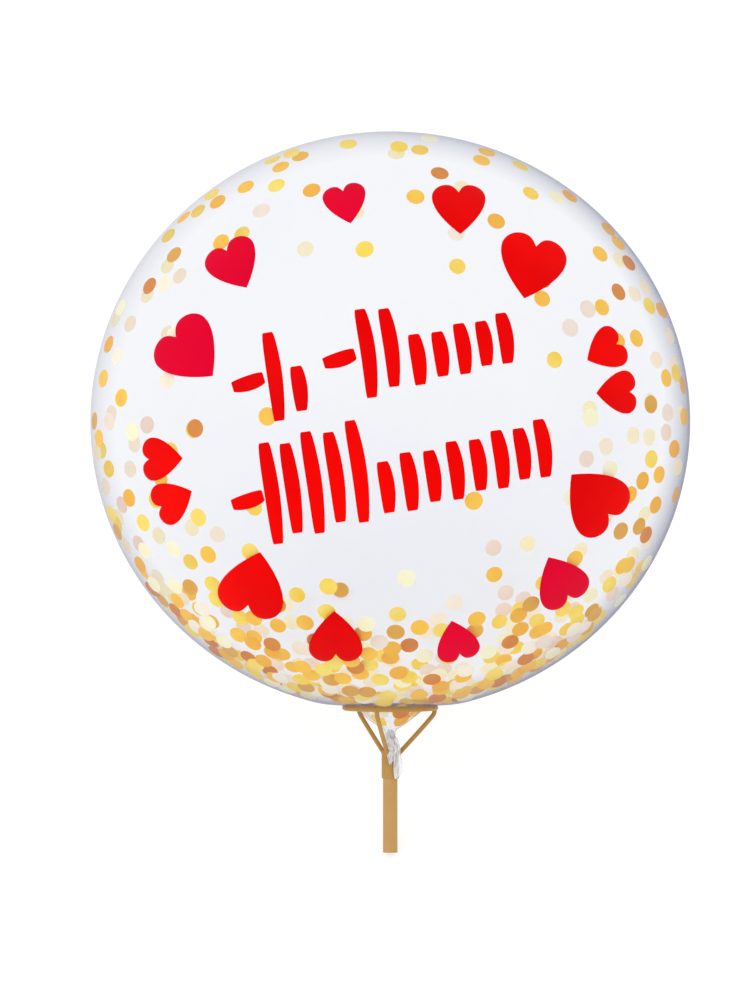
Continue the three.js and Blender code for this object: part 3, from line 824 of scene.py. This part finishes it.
def closed(rows, first, last):
    """Points and faces of one closed skin over rows of upright points."""
    return np.vstack([[first], rows.reshape(-1, 3), [last]]), tube_faces(*rows.shape[:2])


ring_angle = np.linspace(0, 2 * math.pi, RING_TURNS, endpoint=False)[:, None]
side_angle = np.linspace(0, 2 * math.pi, TUBE_SIDES, endpoint=False)[None, :]
ring_reach = ring_line + RING_THICKNESS / 2 * np.cos(side_angle)
ring_height = ring_top - RING_THICKNESS / 2 + RING_THICKNESS / 2 * np.sin(side_angle) + 0 * ring_angle
ring_points = np.stack([ring_reach * np.cos(ring_angle), ring_reach * np.sin(ring_angle), ring_height], -1)
i, j = np.meshgrid(np.arange(RING_TURNS) * TUBE_SIDES, np.arange(TUBE_SIDES), indexing="ij")
next_i = (i + TUBE_SIDES) % (RING_TURNS * TUBE_SIDES)
next_j = (j + 1) % TUBE_SIDES
ring_faces = np.stack([i + j, next_i + j, next_i + next_j, i + next_j], -1)
parts = [(ring_points.reshape(-1, 3), ring_faces.reshape(-1, 4).tolist())]
for number in range(3):
    azimuth = math.radians(STRUT_AZIMUTH + 120 * number)
    elbow = [ring_line, ring_top - STRUT_ELBOW_DROP]
    foot = [socket_radius - SOCKET_WALL / 2, socket_top - STRUT_FOOT_DROP]
    bend = [start + (end - start) * ELBOW_SHARE for start, end in zip(elbow, foot)]
    above_elbow = [
        [ring_line, ring_top - STRUT_ROOT_DROP],
        [ring_line + STRUT_BULGE, ring_top - STRUT_BULGE_DROP],
    ]
    flat = through_points([*above_elbow, bend, foot], STRUT_ROWS)
    path = np.stack([flat[:, 0] * math.cos(azimuth), flat[:, 0] * math.sin(azimuth), flat[:, 1]], -1)
    rows = tube_along(path, STRUT_DIAMETER / 2, TUBE_SIDES)
    parts.append(closed(rows, path[0], path[-1]))
socket_profile = [
    (bore_radius, socket_top - SOCKET_CAP),
    (bore_radius, socket_end + MOUTH_CHAMFER),
    (bore_radius + MOUTH_LIP, socket_end),
    (socket_radius - 0.1, socket_end),
    (socket_radius, socket_end + 0.25),
    (socket_radius, socket_top - 0.9),
    (socket_radius - 0.5, socket_top - 0.2),
    (socket_radius - CAP_ROUNDING, socket_top),
]
socket_rows = turned_rows(socket_profile, SOCKET_COLUMNS)
parts.append(closed(socket_rows, (0, 0, socket_top - SOCKET_CAP), (0, 0, socket_top)))

tan_plastic, shader = new_finish("tan_plastic")
mottled(
    tan_plastic,
    shader,
    linear(170, 130, 66),
    linear(180, 140, 78),
    patches=60,
    roughness=(0.4, 0.55),
    bump=0.02,
)
shader.inputs["Specular IOR Level"].default_value = PLASTIC_SPECULAR
points, faces = joined(parts)
holder = piece(
    "ring_holder_moulding",
    laid_down(points),
    faces,
    tan_plastic,
    nodes=["ring_holder"],
)
fused = holder.modifiers.new("fused", "REMESH")
fused.mode = "VOXEL"
fused.voxel_size = FILLET_VOXEL * MM
fused.use_smooth_shade = True
soft = holder.modifiers.new("fillets", "SMOOTH")
soft.factor = 0.5
soft.iterations = FILLET_ROUNDS

# The stick
# A length of extruded plastic tube, cut square and pushed up into the socket.
STICK_WALL = 0.8
END_ROUNDING = 0.15
STICK_COLUMNS = 96
# The tube's upper end is out of sight in the socket, and is closed by a plug of this thickness
STICK_PLUG = 1
stick_radius = STICK_DIAMETER / 2
stick_bore = stick_radius - STICK_WALL
stick_profile = [
    (stick_bore, stick_top - STICK_PLUG),
    (stick_bore, stick_end + END_ROUNDING),
    (stick_bore + END_ROUNDING, stick_end),
    (stick_radius - END_ROUNDING, stick_end),
    (stick_radius, stick_end + END_ROUNDING),
    (stick_radius, stick_top - END_ROUNDING),
    (stick_radius - END_ROUNDING, stick_top),
]
stick_plastic, shader = new_finish("stick_plastic")
mottled(
    stick_plastic,
    shader,
    linear(180, 140, 82),
    linear(190, 150, 94),
    patches=45,
    roughness=(0.36, 0.5),
    bump=0.015,
)
shader.inputs["Specular IOR Level"].default_value = PLASTIC_SPECULAR
stick_rows = turned_rows(stick_profile, STICK_COLUMNS)
skin(
    "stick_tube",
    stick_rows,
    (0, 0, stick_top - STICK_PLUG),
    (0, 0, stick_top),
    stick_plastic,
    nodes=["stick"],
)

# The floor and the light
# A plain pale floor that glows a little, as a light table does, under a white sky, with a broad soft light
# from the upper left and a weaker one opposite.
FLOOR_HALF = 6
FLOOR_DROP = 0.2 * MM
FLOOR_GREY = 0.35
FLOOR_GLOW = 0.7
floor_mesh = bpy.data.meshes.new("floor")
corner_signs = [(-1, -1), (1, -1), (1, 1), (-1, 1)]
corners = [(x * FLOOR_HALF, y * FLOOR_HALF, -FLOOR_DROP) for x, y in corner_signs]
floor_mesh.from_pydata(corners, [], [(0, 1, 2, 3)])
floor = bpy.data.objects.new("floor", floor_mesh)
floor_finish, shader = new_finish("pale_floor")
shader.inputs["Base Color"].default_value = (FLOOR_GREY, FLOOR_GREY, FLOOR_GREY, 1)
shader.inputs["Emission Color"].default_value = (1, 1, 1, 1)
shader.inputs["Emission Strength"].default_value = FLOOR_GLOW
shader.inputs["Roughness"].default_value = 0.9
shader.inputs["Specular IOR Level"].default_value = 0.1
floor_mesh.materials.append(floor_finish)
bpy.context.scene.collection.objects.link(floor)

sky = bpy.data.worlds.new("white_sky")
sky.use_nodes = True
sky.node_tree.nodes["Background"].inputs["Color"].default_value = (1, 1, 1, 1)
sky.node_tree.nodes["Background"].inputs["Strength"].default_value = 1
bpy.context.scene.world = sky


def soft_light(name, place, size, power):
    """A square soft light that points at the middle of the bubble, in metres and watts."""
    data = bpy.data.lights.new(name, "AREA")
    data.size = size
    data.energy = power
    light = bpy.data.objects.new(name, data)
    way = bubble_middle - np.array(place)
    light.location = place
    light.rotation_euler = Vector(way).to_track_quat("-Z", "Y").to_euler()
    bpy.context.scene.collection.objects.link(light)


soft_light("window_left", place=(-1.8, -1.0, 2.2), size=1.6, power=18)
soft_light("window_right", place=(1.9, -0.6, 1.8), size=1.4, power=6)
bpy.context.scene.view_settings.view_transform = "Standard"
bpy.context.scene.cycles.transparent_max_bounces = 24
